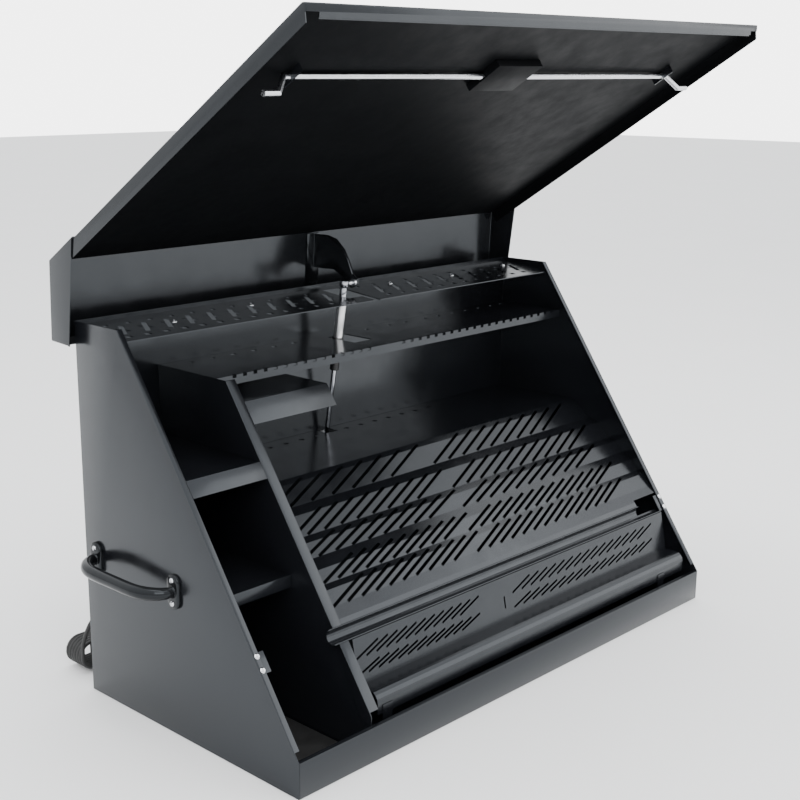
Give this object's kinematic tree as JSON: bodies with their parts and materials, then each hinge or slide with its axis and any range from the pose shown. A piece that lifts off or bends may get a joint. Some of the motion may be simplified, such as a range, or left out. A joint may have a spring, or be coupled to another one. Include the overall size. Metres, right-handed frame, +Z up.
{
  "type": "portable tool chest",
  "caption": "Slant-front black steel tool chest with a raised lift-up lid, slotted tool racks, a side bay, bow handles and a gas strut.",
  "frame": {"origin": "centre of the cabinet's underside, on the floor", "axes": "+X to the right seen from the front, +Y to the back, +Z up"},
  "size_m": [1.009, 0.5586, 0.926],
  "materials": {
    "powder_coat": "satin",
    "gloss_enamel": "gloss",
    "bright_steel": "satin",
    "dark_chrome": "gloss",
    "silver_tube": "satin",
    "black_plastic": "matte",
    "rubber": "matte"
  },
  "bodies": {
    "cabinet": {"side_panel_left": "powder_coat", "side_panel_right": "powder_coat", "back_panel": "powder_coat", "floor_pan": "powder_coat", "divider": "powder_coat", "top_rack": "powder_coat", "middle_shelf": "powder_coat", "wrench_rack": "powder_coat", "lower_rack": "powder_coat", "screwdriver_trough": "powder_coat", "divider_shelf": "powder_coat", "side_shelf_upper": "powder_coat", "side_shelf_lower": "powder_coat", "catch_left": "powder_coat", "catch_right": "powder_coat", "handle_left": "gloss_enamel", "handle_right": "gloss_enamel", "catch_rivet_left_upper": "bright_steel", "catch_rivet_left_lower": "bright_steel", "catch_rivet_right_upper": "bright_steel", "catch_rivet_right_lower": "bright_steel", "handle_screw_left_front_upper": "bright_steel", "handle_screw_left_front_lower": "bright_steel", "handle_screw_left_rear_upper": "bright_steel", "handle_screw_left_rear_lower": "bright_steel", "handle_screw_right_front_upper": "bright_steel", "handle_screw_right_front_lower": "bright_steel", "handle_screw_right_rear_upper": "bright_steel", "handle_screw_right_rear_lower": "bright_steel", "hinge_leaf_body": "bright_steel", "hinge_pin": "bright_steel", "strut_base": "bright_steel", "power_strip": "black_plastic", "cord_tie": "black_plastic", "compartment_mat": "rubber", "strain_relief": "rubber", "power_cord": "rubber", "power_cord_tail": "rubber", "cord_hank": "rubber", "plug": "rubber"},
    "lid": {"hinge_leaf_lid": "bright_steel", "lid_panel": "gloss_enamel", "lid_hood": "gloss_enamel", "lid_front_seal": "gloss_enamel", "strut_arm": "gloss_enamel", "strut_ball_stud": "bright_steel", "latch_box": "gloss_enamel", "escutcheon": "dark_chrome", "rod_guide_left": "powder_coat", "rod_guide_right": "powder_coat"},
    "latch": {"latch_handle": "dark_chrome", "latch_cam": "bright_steel"},
    "lock": {"lock_cylinder": "bright_steel"},
    "bolt_left": {"latch_rod_left": "bright_steel"},
    "bolt_right": {"latch_rod_right": "bright_steel"},
    "strut_lower": {"strut_rod": "dark_chrome"},
    "strut_upper": {"strut_tube": "silver_tube", "strut_collar": "black_plastic"},
    "switch": {"power_switch": "black_plastic"}
  },
  "joints": [
    {"name": "lid_hinge", "type": "hinge", "parent": "cabinet", "child": "lid", "pos_m": [0, 0.221, 0.499], "axis": [1, 0, 0], "range_deg": [0, 87.5]},
    {"name": "latch_turn", "type": "hinge", "parent": "lid", "child": "latch", "pos_m": [0, -0.13179, 0.85716], "axis": [0, 0.5369, 0.8436], "range_deg": [0, 90]},
    {"name": "lock_turn", "type": "hinge", "parent": "latch", "child": "lock", "pos_m": [0, -0.13179, 0.85716], "axis": [0, 0.5369, 0.8436], "range_deg": [0, 90]},
    {"name": "bolt_left_slide", "type": "slide", "parent": "lid", "child": "bolt_left", "axis": [-1, 0, 0], "range_m": [0, 0.01]},
    {"name": "bolt_right_slide", "type": "slide", "parent": "lid", "child": "bolt_right", "axis": [1, 0, 0], "range_m": [0, 0.01]},
    {"name": "strut_tilt", "type": "hinge", "parent": "cabinet", "child": "strut_lower", "pos_m": [-0.002, 0.205, 0.282], "axis": [1, 0, 0], "range_deg": [-0.5, 1.5]},
    {"name": "strut_slide", "type": "slide", "parent": "strut_lower", "child": "strut_upper", "axis": [0, -0.1601, 0.9871], "range_m": [-0.1005, 0.001]},
    {"name": "switch_rock", "type": "hinge", "parent": "cabinet", "child": "switch", "pos_m": [-0.355, 0.182, 0.092], "axis": [1, 0, 0], "range_deg": [0, 8]}
  ],
  "couplings": [
    {"joint": "bolt_left_slide", "follows": "latch_turn", "m_per_rad": 0.006366},
    {"joint": "bolt_right_slide", "follows": "latch_turn", "m_per_rad": 0.006366},
    {"joint": "strut_tilt", "follows": "lid_hinge", "ratio": 0.0095},
    {"joint": "strut_slide", "follows": "lid_hinge", "m_per_rad": -0.0648}
  ]
}
